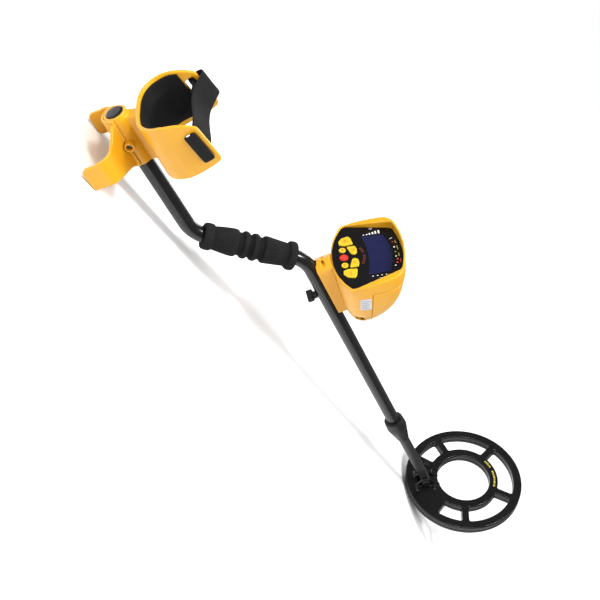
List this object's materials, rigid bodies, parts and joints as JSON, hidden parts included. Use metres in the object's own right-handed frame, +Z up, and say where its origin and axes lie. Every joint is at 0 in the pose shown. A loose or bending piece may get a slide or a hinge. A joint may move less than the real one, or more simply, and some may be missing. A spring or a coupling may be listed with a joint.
{
  "type": "metal detector",
  "caption": "Hand-held metal detector: S-bent rod with arm cuff, foam grip and control housing, telescoping lower stem and tilting open-ring search coil.",
  "frame": {"origin": "middle of the bounding box in plan, on the floor that the two feet and the coil's rim stand on", "axes": "+X from the arm cuff towards the coil, +Y to the user's left, +Z up"},
  "size_m": [1.0702, 0.216, 0.263],
  "materials": {
    "yellow_plastic": "moulded ABS, semi-gloss",
    "black_tube": "gloss powder-coated aluminium tube",
    "black_stem": "satin glass-filled plastic",
    "black_plastic": "satin moulded plastic",
    "coil_plastic": "satin moulded ABS",
    "black_rubber": "rubber",
    "black_foam": "closed-cell foam",
    "black_webbing": "woven elastic webbing",
    "black_fascia": "printed overlay",
    "screen": "tinted display window",
    "lcd_glass": "liquid crystal module",
    "yellow_key": "moulded silicone key",
    "red_key": "moulded silicone key",
    "circuit_board": "solder-masked board",
    "battery_case": "plain battery jacket",
    "speaker_frame": "pressed steel",
    "copper": "taped enamelled wire",
    "steel": "zinc-plated"
  },
  "bodies": {
    "root": {"upper_rod": "black_tube", "rod_end_cap": "black_plastic", "foam_grip": "black_foam", "stem_bushing": "black_plastic", "arm_cuff": "yellow_plastic", "cuff_screw": "steel", "cuff_stand": "yellow_plastic", "cuff_liner": "black_foam", "cuff_strap": "black_webbing", "control_housing": "yellow_plastic", "display_panel": "black_fascia", "lcd_window": "screen", "lcd_module": "lcd_glass", "main_board": "circuit_board", "key_switches": "black_plastic", "board_screws": "steel", "battery_left": "battery_case", "battery_right": "battery_case", "battery_clips": "black_plastic", "speaker": "speaker_frame", "headphone_jack": "black_plastic", "coil_socket": "black_plastic", "mounting_saddle": "yellow_plastic", "clamp_nut": "steel", "saddle_screws": "steel"},
    "battery_door": {"battery_door": "yellow_plastic"},
    "clamp_knob": {"clamp_knob": "black_plastic", "clamp_bolt": "steel"},
    "lock_collar": {"lock_collar": "black_plastic"},
    "lower_stem": {"lower_stem": "black_stem", "stem_wedge": "black_plastic"},
    "coil": {"coil_cover": "coil_plastic", "coil_base": "coil_plastic", "transmit_winding": "copper", "receive_winding": "copper", "coil_gland": "black_rubber", "hinge_bolt": "black_plastic", "hinge_washers": "black_rubber"},
    "hinge_nut": {"hinge_nut": "black_plastic"},
    "key_outer_left": {"key_outer_left": "yellow_key"},
    "key_outer_right": {"key_outer_right": "yellow_key"},
    "key_inner_left": {"key_inner_left": "yellow_key"},
    "key_inner_right": {"key_inner_right": "yellow_key"},
    "key_round_left": {"key_round_left": "yellow_key"},
    "key_round_right": {"key_round_right": "yellow_key"},
    "key_power": {"key_power": "red_key"}
  },
  "joints": [
    {"name": "stem_slide", "type": "slide", "parent": "root", "child": "lower_stem", "axis": [0.9893, 0, -0.146], "range_m": [-0.06, 0.17]},
    {"name": "collar_turn", "type": "hinge", "parent": "root", "child": "lock_collar", "pos_m": [0.24448, 0, 0.06831], "axis": [0.9893, 0, -0.146], "range_deg": [0, 90]},
    {"name": "coil_pivot", "type": "hinge", "parent": "lower_stem", "child": "coil", "pos_m": [0.42057, 0, 0.04232], "axis": [0, 1, 0], "range_deg": [-90, 60]},
    {"name": "hinge_nut_turn", "type": "hinge", "parent": "coil", "child": "hinge_nut", "pos_m": [0.42057, 0.015, 0.04232], "axis": [0, 1, 0], "continuous": true},
    {"name": "clamp_knob_turn", "type": "hinge", "parent": "root", "child": "clamp_knob", "pos_m": [-0.12221, 0, 0.10422], "axis": [-0.146, 0, -0.9893], "continuous": true},
    {"name": "battery_door_slide", "type": "slide", "parent": "root", "child": "battery_door", "axis": [0.895, 0, -0.4461], "range_m": [0, 0.05]},
    {"name": "key_outer_left_press", "type": "slide", "parent": "root", "child": "key_outer_left", "axis": [0.9178, 0, -0.3971], "range_m": [0, 0.0009], "stiffness_N_per_m": 500, "springref_m": -0.0006},
    {"name": "key_outer_right_press", "type": "slide", "parent": "root", "child": "key_outer_right", "axis": [0.9178, 0, -0.3971], "range_m": [0, 0.0009], "stiffness_N_per_m": 500, "springref_m": -0.0006},
    {"name": "key_inner_left_press", "type": "slide", "parent": "root", "child": "key_inner_left", "axis": [0.9178, 0, -0.3971], "range_m": [0, 0.0009], "stiffness_N_per_m": 500, "springref_m": -0.0006},
    {"name": "key_inner_right_press", "type": "slide", "parent": "root", "child": "key_inner_right", "axis": [0.9178, 0, -0.3971], "range_m": [0, 0.0009], "stiffness_N_per_m": 500, "springref_m": -0.0006},
    {"name": "key_round_left_press", "type": "slide", "parent": "root", "child": "key_round_left", "axis": [0.9178, 0, -0.3971], "range_m": [0, 0.0009], "stiffness_N_per_m": 500, "springref_m": -0.0006},
    {"name": "key_round_right_press", "type": "slide", "parent": "root", "child": "key_round_right", "axis": [0.9178, 0, -0.3971], "range_m": [0, 0.0009], "stiffness_N_per_m": 500, "springref_m": -0.0006},
    {"name": "key_power_press", "type": "slide", "parent": "root", "child": "key_power", "axis": [0.9178, 0, -0.3971], "range_m": [0, 0.0009], "stiffness_N_per_m": 500, "springref_m": -0.0006}
  ]
}
